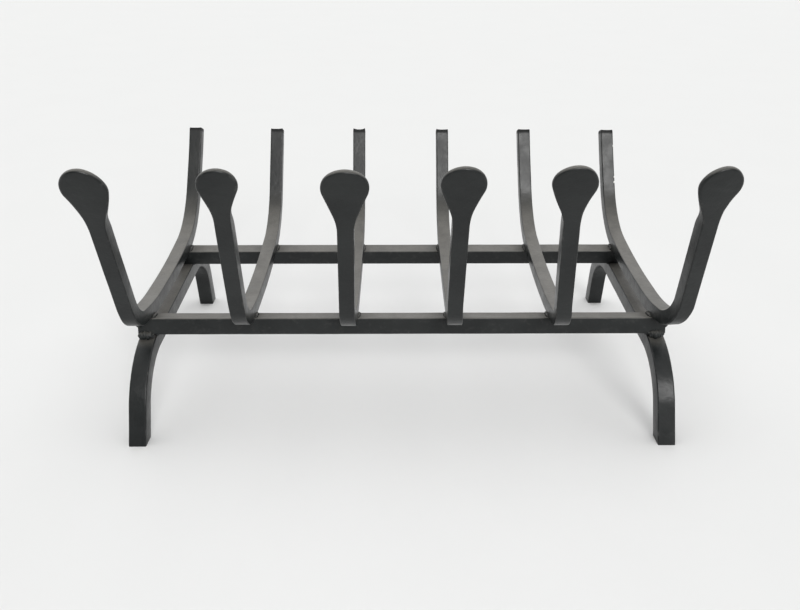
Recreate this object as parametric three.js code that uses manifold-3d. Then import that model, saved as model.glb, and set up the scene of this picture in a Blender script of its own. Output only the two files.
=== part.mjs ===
// Log grate: six square log bars across two crossbars on two arched leg bars, all arc-welded.
// Millimetres. +X runs along the crossbars, +Y towards the back of the hearth, +Z up.
// The origin is on the hearth, under the middle of the grate's bounding box.

import * as THREE from 'three';
import * as BufferGeometryUtils from 'three/addons/utils/BufferGeometryUtils.js';
import Module from 'manifold-3d';

// ---------------------------------------------------------------- bar stock and joints
const LOG_BAR = 19.05; // 3/4 in square bar
const FRAME_BAR = 22.225; // 7/8 in square bar, for the crossbars and the leg bars
const JOINT_GAP = 0.3; // between bars that are welded face to face

// ---------------------------------------------------------------- layout
const LOG_BAR_COUNT = 6;
const LOG_BAR_SPACING = 133.35; // 5 1/4 in between bar centres
const CROSSBAR_SPACING = 213.5; // between the middles of the two top faces, front to back
const BED_HEIGHT = 134.5; // hearth to the middle of the front crossbar's top face

// ---------------------------------------------------------------- log bar, seen from the side
const BED_SLOPE_FRONT = -7; // degrees, on the front crossbar: the bar falls towards the back
const BED_SLOPE_REAR = 8.5; // degrees, on the rear crossbar: the bar has started to rise
const BED_RADIUS_FRONT = 305; // gentle sag behind the front crossbar
const BED_RADIUS_REAR = 1017; // slow rise up to the rear crossbar
const FRONT_REACH = 59; // crossbar middle to the corner that the front bend rounds off
const FRONT_BEND_RADIUS = 57; // to the bar's middle line
const UPRIGHT_LEAN = 22; // degrees forward of plumb
const REAR_BEND_RADIUS = 104; // to the bar's middle line
const POST_LEAN = 23; // degrees backward of plumb
const POST_TOP_HEIGHT = 307; // hearth to the post's top front edge
const HEAD_TOP_HEIGHT = 380.5; // hearth to the tip of a head

// ---------------------------------------------------------------- flattened head
const HEAD_RADIUS = 26.5;
const HEAD_THICKNESS = 7;
const NECK_FLARE = 20; // degrees, between the neck's straight sides and the bar
const NECK_FILLET = 75; // hollow curve from the neck into the bar
const HEAD_FLAT_LENGTH = 45; // from the tip, at full flatness
const HEAD_TAPER_LENGTH = 50; // below that, where it swells back to the full bar

// Small differences between the hand-bent bars, from left to right.
const ARM_SIDESTEP = [-5, -1, -1, -3, -3, 11]; // sideways, where the upright leaves the bend
const HEAD_DRIFT = [-10, 3, 5, -2, -15, 5]; // sideways, at the tip
const HEAD_RISE = [-3, -1, -3, 1, 3, 2]; // up, at the tip
const REACH_TRIM = [-4, -3, 2, 0, 1, -4]; // of the front reach

// ---------------------------------------------------------------- leg bar, seen from the side
const LEG_BEND_RADIUS = 82; // to the bar's middle line
const LEG_SPLAY = 17.5; // degrees off plumb at the feet
const LEG_OVERRUN_FRONT = 3; // straight run left under the front crossbar's resting edge
const LEG_OVERRUN_REAR = 24; // and behind the rear crossbar's resting edge

// ---------------------------------------------------------------- weld beads
const BEAD_LEG = 6; // fillet size on each face
const BEAD_BULGE = 0.8; // crown over the flat between the two toes
const BEAD_TAPER = 2.5; // run-out at each end
const SEAM_WIDTH = 9; // bead laid flat over a flush seam
const SEAM_HEIGHT = 2.2;
const WEDGE_DEPTH = 1.5; // how far the front and rear beads reach down beside a leg bar's bend

// ---------------------------------------------------------------- faceting
const BEND_STEP = 5; // degrees of bend per facet
const HEAD_STEP = 9; // degrees of head outline per facet
const SIDESTEP_FACETS = 6; // along the arm's sideways set
const SIDESTEP_OVERLAP = 0.4; // how far it runs on above the bend, as a share of its run below

const rad = THREE.MathUtils.degToRad;
const wasm = await Module();
wasm.setup();

// ---------------------------------------------------------------- finishes
const barPaint = () => new THREE.MeshStandardMaterial({ color: 0x2b2d2e, roughness: 0.5, metalness: 0.3 });
const beadPaint = () => new THREE.MeshStandardMaterial({ color: 0x26282a, roughness: 0.6, metalness: 0.3 });

// ---------------------------------------------------------------- small tools

// A point on a bar's middle line in the side view: y, z and the slope, in radians, going back.
function station(y, z, slope) {
  return { y, z, slope };
}

// The point reached from `from` after `length` straight on; a negative length goes forward.
function straightOn(from, length) {
  return station(
    from.y + length * Math.cos(from.slope),
    from.z + length * Math.sin(from.slope),
    from.slope
  );
}

// Stations round a bend of `radius` that turns from one slope to another, both in degrees.
// `turn` is +1 where the bend's centre is above the bar and -1 where it is below.
function bend(from, radius, endSlope, turn) {
  const end = rad(endSlope);
  const steps = Math.max(1, Math.ceil(Math.abs(end - from.slope) / rad(BEND_STEP)));
  const centreY = from.y - turn * radius * Math.sin(from.slope);
  const centreZ = from.z + turn * radius * Math.cos(from.slope);
  const stations = [];
  for (let i = 1; i <= steps; i += 1) {
    const slope = THREE.MathUtils.lerp(from.slope, end, i / steps);
    stations.push(station(
      centreY + turn * radius * Math.sin(slope),
      centreZ - turn * radius * Math.cos(slope),
      slope
    ));
  }
  return stations;
}

// The point `offset` away from a station, square to the bar: + is up, or inside the grate.
function beside(at, offset) {
  return new THREE.Vector2(
    at.y - offset * Math.sin(at.slope),
    at.z + offset * Math.cos(at.slope)
  );
}

// A side-view outline in (y, z), pulled out along X to `width` about X = 0.
function extrudeAcross(outline, width) {
  const geometry = new THREE.ExtrudeGeometry(new THREE.Shape(outline), {
    depth: width,
    bevelEnabled: false,
    curveSegments: 1
  });
  geometry.translate(0, 0, -width / 2);
  // shape x, y and depth become Y, Z and X
  geometry.applyMatrix4(new THREE.Matrix4().set(
    0, 0, 1, 0,
    1, 0, 0, 0,
    0, 1, 0, 0,
    0, 0, 0, 1
  ));
  return geometry;
}

// A closed geometry as a solid that can be cut.
function toSolid(geometry) {
  const bare = geometry.clone();
  bare.deleteAttribute('normal');
  bare.deleteAttribute('uv');
  const merged = BufferGeometryUtils.mergeVertices(bare, 1e-4);
  return new wasm.Manifold(new wasm.Mesh({
    numProp: 3,
    vertProperties: new Float32Array(merged.attributes.position.array),
    triVerts: new Uint32Array(merged.index.array)
  }));
}

// A cut solid back as a geometry.
function toGeometry(solid) {
  const mesh = solid.getMesh();
  const geometry = new THREE.BufferGeometry();
  geometry.setAttribute('position', new THREE.BufferAttribute(new Float32Array(mesh.vertProperties), 3));
  geometry.setIndex(new THREE.BufferAttribute(new Uint32Array(mesh.triVerts), 1));
  geometry.computeVertexNormals();
  return geometry;
}

function namedMesh(name, geometry, material, x = 0) {
  const mesh = new THREE.Mesh(geometry, material);
  mesh.name = name;
  mesh.position.x = x;
  return mesh;
}

// ---------------------------------------------------------------- crossbars

// Where a crossbar lies in the side view: the middle of its top face, and its tilt.
function crossbarSeat(at, barOffset) {
  const top = beside(at, -barOffset);
  return station(top.x, top.y, at.slope);
}

const frontSeat = station(0, BED_HEIGHT, rad(BED_SLOPE_FRONT));
const overSeat = LOG_BAR / 2 + JOINT_GAP; // crossbar face to a log bar's middle line
const frontContact = (() => {
  const point = beside(frontSeat, overSeat);
  return station(point.x, point.y, frontSeat.slope);
})();

// The log bar's middle line from the front crossbar to the rear one. The flat between its two
// gentle curves takes up what is left of the crossbar spacing.
const bedStations = (() => {
  const sag = bend(frontContact, BED_RADIUS_FRONT, 0, 1);
  const sagEnd = sag[sag.length - 1];
  const rise = BED_RADIUS_REAR * Math.sin(rad(BED_SLOPE_REAR));
  const rearContactY = CROSSBAR_SPACING - overSeat * Math.sin(rad(BED_SLOPE_REAR));
  const flat = rearContactY - rise - sagEnd.y;
  const flatEnd = straightOn(sagEnd, flat);
  return [frontContact, ...sag, flatEnd, ...bend(flatEnd, BED_RADIUS_REAR, BED_SLOPE_REAR, 1)];
})();
const rearContact = bedStations[bedStations.length - 1];
const rearSeat = crossbarSeat(rearContact, overSeat);

const overallWidth = (LOG_BAR_COUNT - 1) * LOG_BAR_SPACING + LOG_BAR;

function crossbar(name, seat) {
  const middle = beside(seat, -FRAME_BAR / 2);
  const mesh = namedMesh(name, new THREE.BoxGeometry(overallWidth, FRAME_BAR, FRAME_BAR), barPaint());
  mesh.position.set(0, middle.x, middle.y);
  mesh.rotation.x = seat.slope;
  return mesh;
}

// A crossbar's lower edge in the side view; side is -1 for its front edge, +1 for its rear edge.
function lowerEdge(seat, side) {
  return beside(straightOn(seat, side * FRAME_BAR / 2), -FRAME_BAR);
}

// ---------------------------------------------------------------- log bars

// The middle line from the tip of the head back to the bed, for one bar's own reach and rise.
function frontStations(reachTrim, headRise) {
  const uprightSlope = UPRIGHT_LEAN - 90;
  const turn = rad(BED_SLOPE_FRONT - uprightSlope);
  const run = (FRONT_REACH + reachTrim) / Math.cos(frontContact.slope);
  const bendStart = straightOn(frontContact, -(run - (FRONT_BEND_RADIUS + LOG_BAR / 2) * Math.tan(turn / 2)));
  const arc = bend(bendStart, FRONT_BEND_RADIUS, uprightSlope, 1);
  const uprightFoot = arc[arc.length - 1];
  const frontFaceDrop = (LOG_BAR / 2) * Math.cos(uprightFoot.slope);
  const climb = HEAD_TOP_HEIGHT + headRise - uprightFoot.z + frontFaceDrop;
  const uprightLength = climb / Math.cos(rad(UPRIGHT_LEAN));
  const tip = straightOn(uprightFoot, -uprightLength);
  const flatEnd = straightOn(tip, HEAD_FLAT_LENGTH);
  const taperEnd = straightOn(flatEnd, HEAD_TAPER_LENGTH);
  return { stations: [tip, flatEnd, taperEnd, ...arc.reverse(), bendStart], uprightFoot, tip };
}

// The middle line behind the rear crossbar, up to the sheared end of the post.
function rearStations() {
  const arc = bend(rearContact, REAR_BEND_RADIUS, 90 - POST_LEAN, 1);
  const postFoot = arc[arc.length - 1];
  const frontFaceLift = (LOG_BAR / 2) * Math.cos(postFoot.slope);
  const postLength = (POST_TOP_HEIGHT - postFoot.z - frontFaceLift) / Math.sin(postFoot.slope);
  return [...arc, straightOn(postFoot, postLength)];
}

// The side outline of a log bar. The head is thinned from the back, so the front face is straight.
function logBarOutline(front) {
  const [tip, flatEnd, ...rest] = front.stations;
  const full = [...rest, ...bedStations, ...rearStations()];
  const thinned = HEAD_THICKNESS - LOG_BAR / 2;
  const inside = [
    beside(tip, thinned),
    beside(flatEnd, thinned),
    ...full.map((at) => beside(at, LOG_BAR / 2))
  ];
  const outside = [tip, ...full].map((at) => beside(at, -LOG_BAR / 2));
  return [...inside, ...outside.reverse()];
}

// How far the bar's middle stands to the side of its place on the crossbars, at v up the upright.
// The sideways set of the arm builds up smoothly round the bend.
function sidewaysAt(v, index, bendV, uprightLength) {
  const set = ARM_SIDESTEP[index] * THREE.MathUtils.smoothstep(v, bendV, -bendV * SIDESTEP_OVERLAP);
  const alongUpright = Math.max(0, v) / uprightLength;
  return set + (HEAD_DRIFT[index] - ARM_SIDESTEP[index]) * alongUpright;
}

// Right-hand side of the front outline, from the top of the bend to the head: half-widths at
// heights v up the upright.
function headProfile(uprightLength) {
  const half = LOG_BAR / 2;
  const flare = rad(NECK_FLARE);
  const discV = uprightLength - HEAD_RADIUS;
  const leaveU = HEAD_RADIUS * Math.cos(flare);
  const leaveV = discV - HEAD_RADIUS * Math.sin(flare);
  const straightMeets = leaveV - (leaveU - half) / Math.tan(flare);
  const filletStart = straightMeets - NECK_FILLET * Math.tan(flare / 2);
  const profile = [];
  const neckSteps = Math.ceil(flare / rad(BEND_STEP));
  for (let i = 0; i <= neckSteps; i += 1) {
    const angle = (flare * i) / neckSteps;
    profile.push(new THREE.Vector2(
      half + NECK_FILLET * (1 - Math.cos(angle)),
      filletStart + NECK_FILLET * Math.sin(angle)
    ));
  }
  const discTurn = Math.PI / 2 + flare;
  const discSteps = Math.ceil(discTurn / rad(HEAD_STEP));
  for (let i = 0; i < discSteps; i += 1) {
    const angle = (discTurn * i) / discSteps - flare;
    profile.push(new THREE.Vector2(
      HEAD_RADIUS * Math.cos(angle),
      discV + HEAD_RADIUS * Math.sin(angle)
    ));
  }
  return profile;
}

// The front outline of a log bar in the plane of its upright: u across, v up the upright from the
// top of the bend. It runs on down past the bed, where the bar is a plain strip.
function logBarFront(index, bendV, uprightLength) {
  const half = LOG_BAR / 2;
  const strip = [new THREE.Vector2(half, -overallWidth)];
  for (let i = 0; i <= SIDESTEP_FACETS; i += 1) {
    const v = THREE.MathUtils.lerp(bendV, -bendV * SIDESTEP_OVERLAP, i / SIDESTEP_FACETS);
    strip.push(new THREE.Vector2(half, v));
  }
  const side = [...strip, ...headProfile(uprightLength)];
  const moved = (u, v) => new THREE.Vector2(u + sidewaysAt(v, index, bendV, uprightLength), v);
  return [
    ...side.map((point) => moved(point.x, point.y)),
    moved(0, uprightLength),
    ...side.map((point) => moved(-point.x, point.y)).reverse()
  ];
}

// One log bar: its side outline, as wide as its head, trimmed to its front outline.
function logBar(index) {
  const front = frontStations(REACH_TRIM[index], HEAD_RISE[index]);
  const foot = front.uprightFoot;
  const up = new THREE.Vector2(-Math.cos(foot.slope), -Math.sin(foot.slope));
  const heightUp = (at) => (at.y - foot.y) * up.x + (at.z - foot.z) * up.y;
  const uprightLength = heightUp(front.tip);
  const furthest = Math.max(Math.abs(ARM_SIDESTEP[index]), Math.abs(HEAD_DRIFT[index]));
  const side = toSolid(extrudeAcross(logBarOutline(front), 2 * (HEAD_RADIUS + furthest) + LOG_BAR));

  const depth = 2 * overallWidth;
  const frontGeometry = new THREE.ExtrudeGeometry(
    new THREE.Shape(logBarFront(index, heightUp(frontContact), uprightLength)),
    { depth, bevelEnabled: false, curveSegments: 1 }
  );
  frontGeometry.translate(0, 0, -depth / 2);
  const across = new THREE.Vector3(1, 0, 0);
  const upUpright = new THREE.Vector3(0, up.x, up.y);
  const facing = new THREE.Vector3().crossVectors(across, upUpright);
  const place = new THREE.Matrix4().makeBasis(across, upUpright, facing);
  place.setPosition(0, foot.y, foot.z);
  frontGeometry.applyMatrix4(place);

  const geometry = toGeometry(side.intersect(toSolid(frontGeometry)));
  return namedMesh(`log_bar_${index + 1}`, geometry, barPaint(), logBarX(index));
}

function logBarX(index) {
  return (index - (LOG_BAR_COUNT - 1) / 2) * LOG_BAR_SPACING;
}

// ---------------------------------------------------------------- leg bars

// The leg bar's top face touches the lowest edge of each crossbar, a joint gap below it.
const frontRest = lowerEdge(frontSeat, 1);
const rearRest = lowerEdge(rearSeat, -1);
const legSlope = Math.atan2(rearRest.y - frontRest.y, rearRest.x - frontRest.x);
const underRest = FRAME_BAR / 2 + JOINT_GAP;

// A leg's middle line from the run down to the hearth; side is -1 for the front, +1 for the rear.
function legStations(rest, overrun, side) {
  const under = beside(station(rest.x, rest.y, legSlope), -underRest);
  const bendStart = straightOn(station(under.x, under.y, legSlope), side * overrun);
  const arc = bend(bendStart, LEG_BEND_RADIUS, -side * (90 - LEG_SPLAY), -1);
  const legTop = arc[arc.length - 1];
  const foot = straightOn(legTop, side * legTop.z / Math.cos(rad(LEG_SPLAY)));
  return [bendStart, ...arc, foot];
}

// A face of the foot, slid along the leg until it stands on the hearth.
function onHearth(foot, offset) {
  const point = beside(foot, offset);
  return new THREE.Vector2(point.x - point.y / Math.tan(foot.slope), 0);
}

function legBar(name, x) {
  const front = legStations(frontRest, LEG_OVERRUN_FRONT, -1).reverse();
  const rear = legStations(rearRest, LEG_OVERRUN_REAR, 1);
  const middle = [...front, ...rear];
  const inner = middle.slice(1, -1);
  const half = FRAME_BAR / 2;
  const outline = [
    onHearth(middle[0], half),
    ...inner.map((at) => beside(at, half)),
    onHearth(middle[middle.length - 1], half),
    onHearth(middle[middle.length - 1], -half),
    ...inner.map((at) => beside(at, -half)).reverse(),
    onHearth(middle[0], -half)
  ];
  return namedMesh(name, extrudeAcross(outline.reverse(), FRAME_BAR), barPaint(), x);
}

const legX = (overallWidth - FRAME_BAR) / 2;

// ---------------------------------------------------------------- weld beads

// A bead from its cross-section, `length` long about its middle, running out at both ends.
function beadGeometry(section, length) {
  const geometry = new THREE.ExtrudeGeometry(new THREE.Shape(section), {
    depth: length - 2 * BEAD_TAPER,
    bevelEnabled: true,
    bevelThickness: BEAD_TAPER,
    bevelSize: BEAD_BULGE,
    bevelOffset: -BEAD_BULGE,
    bevelSegments: 1,
    curveSegments: 1
  });
  geometry.translate(0, 0, -(length - 2 * BEAD_TAPER) / 2);
  return geometry;
}

// Cross-section of a fillet in the corner between two faces: u away from one, v away from the other.
function filletSection() {
  const toe = JOINT_GAP + BEAD_LEG;
  const crown = JOINT_GAP + BEAD_LEG / 2 + BEAD_BULGE;
  return [
    new THREE.Vector2(JOINT_GAP, JOINT_GAP),
    new THREE.Vector2(toe, JOINT_GAP),
    new THREE.Vector2(crown, crown),
    new THREE.Vector2(JOINT_GAP, toe)
  ];
}

// Cross-section of a bead laid over a flush seam: u along the face, v away from it.
function seamSection() {
  const half = SEAM_WIDTH / 2;
  return [
    new THREE.Vector2(-half, JOINT_GAP),
    new THREE.Vector2(half, JOINT_GAP),
    new THREE.Vector2(half / 2, JOINT_GAP + SEAM_HEIGHT),
    new THREE.Vector2(-half / 2, JOINT_GAP + SEAM_HEIGHT)
  ];
}

// Cross-section of the bead across the wedge: u out of the crossbar's face, v below its lower edge.
function wedgeSection() {
  return [
    new THREE.Vector2(JOINT_GAP, -BEAD_LEG),
    new THREE.Vector2(BEAD_LEG / 2 + BEAD_BULGE, -BEAD_LEG / 2),
    new THREE.Vector2(BEAD_LEG, WEDGE_DEPTH),
    new THREE.Vector2(JOINT_GAP, WEDGE_DEPTH)
  ];
}

// Places a bead whose section axes point along `u` and `v`, with its corner at (x, corner).
function bead(name, section, length, x, corner, u, v) {
  const along = new THREE.Vector3().crossVectors(u, v);
  const place = new THREE.Matrix4().makeBasis(u, v, along);
  place.setPosition(x, corner.x, corner.y);
  const geometry = beadGeometry(section, length);
  geometry.applyMatrix4(place);
  return namedMesh(name, geometry, beadPaint());
}

// The two beads that hold a log bar on a crossbar: a fillet on each side, or, where the bar's outer
// face is flush with the crossbar's end, a bead laid over the seam.
function logBarBeads(index, where, seat) {
  const up = new THREE.Vector3(0, -Math.sin(seat.slope), Math.cos(seat.slope));
  const length = FRAME_BAR - BEAD_TAPER;
  return [-1, 1].map((side) => {
    const name = `weld_log_bar_${index + 1}_${where}_${side < 0 ? 'left' : 'right'}`;
    const away = new THREE.Vector3(side, 0, 0);
    const x = logBarX(index) + (side * LOG_BAR) / 2;
    const flush = Math.abs(x) > (overallWidth - JOINT_GAP) / 2;
    const corner = new THREE.Vector2(seat.y, seat.z);
    if (flush) {
      return bead(name, seamSection(), length, x, corner, up, away);
    }
    return bead(name, filletSection(), length, x, corner, away, up);
  });
}

// The two beads that hold a leg bar under a crossbar: a fillet along its inner side, and one across
// the open wedge between the crossbar's outer face and the top of the bend.
function legBeads(sideName, sideSign, where, seat, outward) {
  const down = new THREE.Vector3(0, Math.sin(seat.slope), -Math.cos(seat.slope));
  const outwardFace = new THREE.Vector3(0, outward * Math.cos(seat.slope), outward * Math.sin(seat.slope));
  const under = beside(seat, -FRAME_BAR);
  const innerX = sideSign * (overallWidth / 2 - FRAME_BAR);
  const inner = bead(
    `weld_${sideName}_leg_${where}_inner`,
    filletSection(),
    FRAME_BAR - BEAD_TAPER,
    innerX,
    under,
    new THREE.Vector3(-sideSign, 0, 0),
    down
  );
  const edge = lowerEdge(seat, outward);
  const wedge = bead(
    `weld_${sideName}_leg_${where}_outer`,
    wedgeSection(),
    FRAME_BAR - BEAD_TAPER,
    sideSign * legX,
    edge,
    outwardFace,
    down
  );
  return [inner, wedge];
}

// ---------------------------------------------------------------- assembly
const pieces = [
  crossbar('front_crossbar', frontSeat),
  crossbar('rear_crossbar', rearSeat),
  legBar('left_leg_bar', -legX),
  legBar('right_leg_bar', legX)
];
for (let index = 0; index < LOG_BAR_COUNT; index += 1) {
  pieces.push(logBar(index));
  pieces.push(...logBarBeads(index, 'front', frontSeat));
  pieces.push(...logBarBeads(index, 'rear', rearSeat));
}
for (const [sideName, sideSign] of [['left', -1], ['right', 1]]) {
  pieces.push(...legBeads(sideName, sideSign, 'front', frontSeat, -1));
  pieces.push(...legBeads(sideName, sideSign, 'rear', rearSeat, 1));
}

// The feet already stand on z = 0.
const grate = new THREE.Group();
grate.name = 'log_grate';
grate.add(...pieces);
grate.updateMatrixWorld(true);
const extent = new THREE.Box3().setFromObject(grate, true);
grate.position.set(-(extent.min.x + extent.max.x) / 2, -(extent.min.y + extent.max.y) / 2, 0);

export default grate;
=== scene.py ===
"""A welded fireplace log grate in satin black paint, dressed for a plain studio picture.

Six square log bars with flattened heads lie across two crossbars on two arched leg bars. Sizes are
in millimetres, as the bars are cut and bent, and become metres when a mesh is made.
"""

import logging
import math
from dataclasses import dataclass, field
from enum import Enum

import bmesh
import bpy
import numpy as np
from mathutils import Euler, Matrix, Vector, noise


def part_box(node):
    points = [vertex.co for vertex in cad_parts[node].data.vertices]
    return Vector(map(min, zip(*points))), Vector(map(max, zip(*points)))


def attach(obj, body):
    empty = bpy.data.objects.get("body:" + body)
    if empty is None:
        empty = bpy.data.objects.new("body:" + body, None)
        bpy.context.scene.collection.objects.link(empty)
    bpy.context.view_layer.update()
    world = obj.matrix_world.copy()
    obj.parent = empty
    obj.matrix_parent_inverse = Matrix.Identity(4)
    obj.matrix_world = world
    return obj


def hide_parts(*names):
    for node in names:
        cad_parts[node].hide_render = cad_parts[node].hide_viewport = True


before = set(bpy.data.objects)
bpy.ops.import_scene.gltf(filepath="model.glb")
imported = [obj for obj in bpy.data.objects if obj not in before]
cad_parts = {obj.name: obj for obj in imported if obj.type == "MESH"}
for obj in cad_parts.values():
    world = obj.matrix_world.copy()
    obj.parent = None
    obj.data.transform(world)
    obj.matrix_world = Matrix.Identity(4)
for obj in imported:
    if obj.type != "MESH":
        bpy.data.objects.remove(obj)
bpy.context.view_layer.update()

MM = 0.001
BODY = "root"
log = logging.getLogger("log_grate")


# ------------------------------------------------------------------ layout of the grate


@dataclass(frozen=True)
class Station:
    """A point of a bar's middle line in the side view.

    Args:
        y: Distance towards the back, in mm.
        z: Height, in mm.
        slope: Direction of the bar going back, in radians above level.
    """

    y: float
    z: float
    slope: float

    def ahead(self, length: float) -> "Station":
        """The station `length` further back in a straight line; negative goes forward."""
        return Station(
            self.y + length * math.cos(self.slope),
            self.z + length * math.sin(self.slope),
            self.slope,
        )

    def beside(self, offset: float) -> tuple[float, float]:
        """The (y, z) point `offset` square to the bar, positive above or inside it."""
        return (
            self.y - offset * math.sin(self.slope),
            self.z + offset * math.cos(self.slope),
        )

    def height_of(self, other: "Station") -> float:
        """How far another station lies from this one, up a bar that rises to the front."""
        return -(other.y - self.y) * math.cos(self.slope) - (other.z - self.z) * math.sin(self.slope)

    @property
    def along(self) -> Vector:
        """The bar's direction going back."""
        return Vector((0.0, math.cos(self.slope), math.sin(self.slope)))

    @property
    def above(self) -> Vector:
        """The direction square to the bar, upwards."""
        return Vector((0.0, -math.sin(self.slope), math.cos(self.slope)))

    def lifted(self, offset: float) -> "Station":
        """The same station moved `offset` square to the bar."""
        return Station(*self.beside(offset), self.slope)


def straight(start: Station, length: float, step: float) -> list[Station]:
    """Stations along a straight stretch, without its start.

    Args:
        start: Where the stretch begins.
        length: Its length in mm; negative goes forward.
        step: The most that two stations may be apart.

    Returns:
        The stations in order, the last at the end of the stretch.
    """
    count = max(1, math.ceil(abs(length) / step))
    return [start.ahead(length * i / count) for i in range(1, count + 1)]


def bend(start: Station, radius: float, end_slope: float, turn: int, step: float) -> list[Station]:
    """Stations round a bend, without its start.

    Args:
        start: Where the bend begins.
        radius: Radius of the middle line in mm.
        end_slope: Slope at the end of the bend, in degrees.
        turn: 1 where the bend's centre is above the bar, -1 where it is below.
        step: The most that two stations may be apart, in mm.

    Returns:
        The stations in order, the last at the end of the bend.
    """
    end = math.radians(end_slope)
    count = max(1, math.ceil(abs(end - start.slope) * radius / step))
    centre_y = start.y - turn * radius * math.sin(start.slope)
    centre_z = start.z + turn * radius * math.cos(start.slope)
    stations = []
    for i in range(1, count + 1):
        slope = start.slope + (end - start.slope) * i / count
        y = centre_y + turn * radius * math.sin(slope)
        z = centre_z - turn * radius * math.cos(slope)
        stations.append(Station(y, z, slope))
    return stations


def smooth(low: float, high: float, value: float) -> float:
    """A smooth step from 0 at `low` to 1 at `high`."""
    share = min(1.0, max(0.0, (value - low) / (high - low)))
    return share * share * (3.0 - 2.0 * share)


@dataclass(frozen=True)
class Layout:
    """The sizes and places that the bars share, the same as in the part's source."""

    log_bar: float = 19.05
    frame_bar: float = 22.225
    joint_gap: float = 0.3
    log_bar_count: int = 6
    log_bar_spacing: float = 133.35
    crossbar_spacing: float = 213.5
    bed_height: float = 134.5
    front_slope: float = -7.0
    rear_slope: float = 8.5
    front_sag_radius: float = 305.0
    rear_rise_radius: float = 1017.0
    path_step: float = 3.0

    @property
    def over_seat(self) -> float:
        """Distance from a crossbar's top face to a log bar's middle line."""
        return self.log_bar / 2 + self.joint_gap

    @property
    def width(self) -> float:
        """Length of a crossbar, over the outer log bars."""
        return (self.log_bar_count - 1) * self.log_bar_spacing + self.log_bar

    @property
    def front_seat(self) -> Station:
        """Middle of the front crossbar's top face."""
        return Station(0.0, self.bed_height, math.radians(self.front_slope))

    @property
    def bed(self) -> list[Station]:
        """A log bar's middle line from the front crossbar to the rear one."""
        rise = math.radians(self.rear_slope)
        contact = self.front_seat.lifted(self.over_seat)
        sag = bend(contact, self.front_sag_radius, 0.0, 1, self.path_step)
        rear_y = self.crossbar_spacing - self.over_seat * math.sin(rise)
        flat = rear_y - self.rear_rise_radius * math.sin(rise) - sag[-1].y
        level = straight(sag[-1], flat, self.path_step)
        climb = bend(level[-1], self.rear_rise_radius, self.rear_slope, 1, self.path_step)
        return [contact, *sag, *level, *climb]

    @property
    def rear_seat(self) -> Station:
        """Middle of the rear crossbar's top face."""
        return self.bed[-1].lifted(-self.over_seat)

    def seat(self, where: "Crossing") -> Station:
        """Middle of the top face of the front or the rear crossbar."""
        return self.front_seat if where is Crossing.FRONT else self.rear_seat

    def log_bar_x(self, index: int) -> float:
        """Distance of a log bar from the middle of the grate."""
        return (index - (self.log_bar_count - 1) / 2) * self.log_bar_spacing

    @property
    def leg_x(self) -> float:
        """Distance of a leg bar from the middle of the grate."""
        return (self.width - self.frame_bar) / 2

    def origin(self) -> Vector:
        """Where the layout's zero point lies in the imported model, in mm."""
        low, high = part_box("front_crossbar")
        middle = (low + high) / 2 / MM
        y, z = self.front_seat.beside(-self.frame_bar / 2)
        return Vector((middle.x, middle.y - y, middle.z - z))


class Crossing(Enum):
    """Which of the two crossbars a joint is on."""

    FRONT = "front"
    REAR = "rear"


class Side(Enum):
    """A side of the grate, seen from the room, with its direction along X."""

    LEFT = -1
    RIGHT = 1

    @property
    def label(self) -> str:
        """The side's name as node names spell it."""
        return self.name.lower()


LAYOUT = Layout()
ORIGIN = LAYOUT.origin()
RIGHTWARD = Vector((1.0, 0.0, 0.0))


# ------------------------------------------------------------------ meshes


def place(x: float, y: float, z: float) -> tuple[float, float, float]:
    """A layout point, in mm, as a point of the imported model, in metres."""
    return ((x + ORIGIN.x) * MM, (y + ORIGIN.y) * MM, (z + ORIGIN.z) * MM)


def new_object(name: str, mesh: bpy.types.Mesh) -> bpy.types.Object:
    """An object at the origin that shows `mesh`."""
    piece = bpy.data.objects.new(name, mesh)
    bpy.context.scene.collection.objects.link(piece)
    return piece


def skin(name: str, rows: np.ndarray, marks: dict[str, np.ndarray]) -> bpy.types.Mesh:
    """A closed skin over rows of section points, capped at both ends.

    Args:
        name: The mesh's name.
        rows: Points in metres, shaped (rows, columns, 3).
        marks: Named per-point values, each shaped (rows, columns).

    Returns:
        The mesh, smooth shaded, with outward faces.
    """
    row_count, column_count = rows.shape[:2]
    grid = np.arange(row_count * column_count).reshape(row_count, column_count)
    here = grid[:-1]
    after = np.roll(here, -1, axis=1)
    below = grid[1:]
    below_after = np.roll(below, -1, axis=1)
    faces = np.stack([here, after, below_after, below], axis=-1).reshape(-1, 4).tolist()
    faces.append(grid[0][::-1].tolist())
    faces.append(grid[-1].tolist())
    mesh = bpy.data.meshes.new(name)
    mesh.from_pydata(rows.reshape(-1, 3).tolist(), [], faces)
    for label, values in marks.items():
        layer = mesh.attributes.new(label, "FLOAT", "POINT")
        layer.data.foreach_set("value", values.reshape(-1).astype(np.float32))
    outward(mesh)
    mesh.shade_smooth()
    return mesh


def outward(mesh: bpy.types.Mesh) -> None:
    """Turns a closed mesh's faces outwards."""
    work = bmesh.new()
    work.from_mesh(mesh)
    bmesh.ops.recalc_face_normals(work, faces=work.faces)
    work.to_mesh(mesh)
    work.free()


def ripple(point: tuple[float, float, float], size: float, seed: float) -> float:
    """Smooth noise from -1 to 1 at a point in mm, with features about `size` mm across."""
    return noise.noise(Vector(point) / size + Vector((seed, 7.3 * seed, 0.0)))


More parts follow.
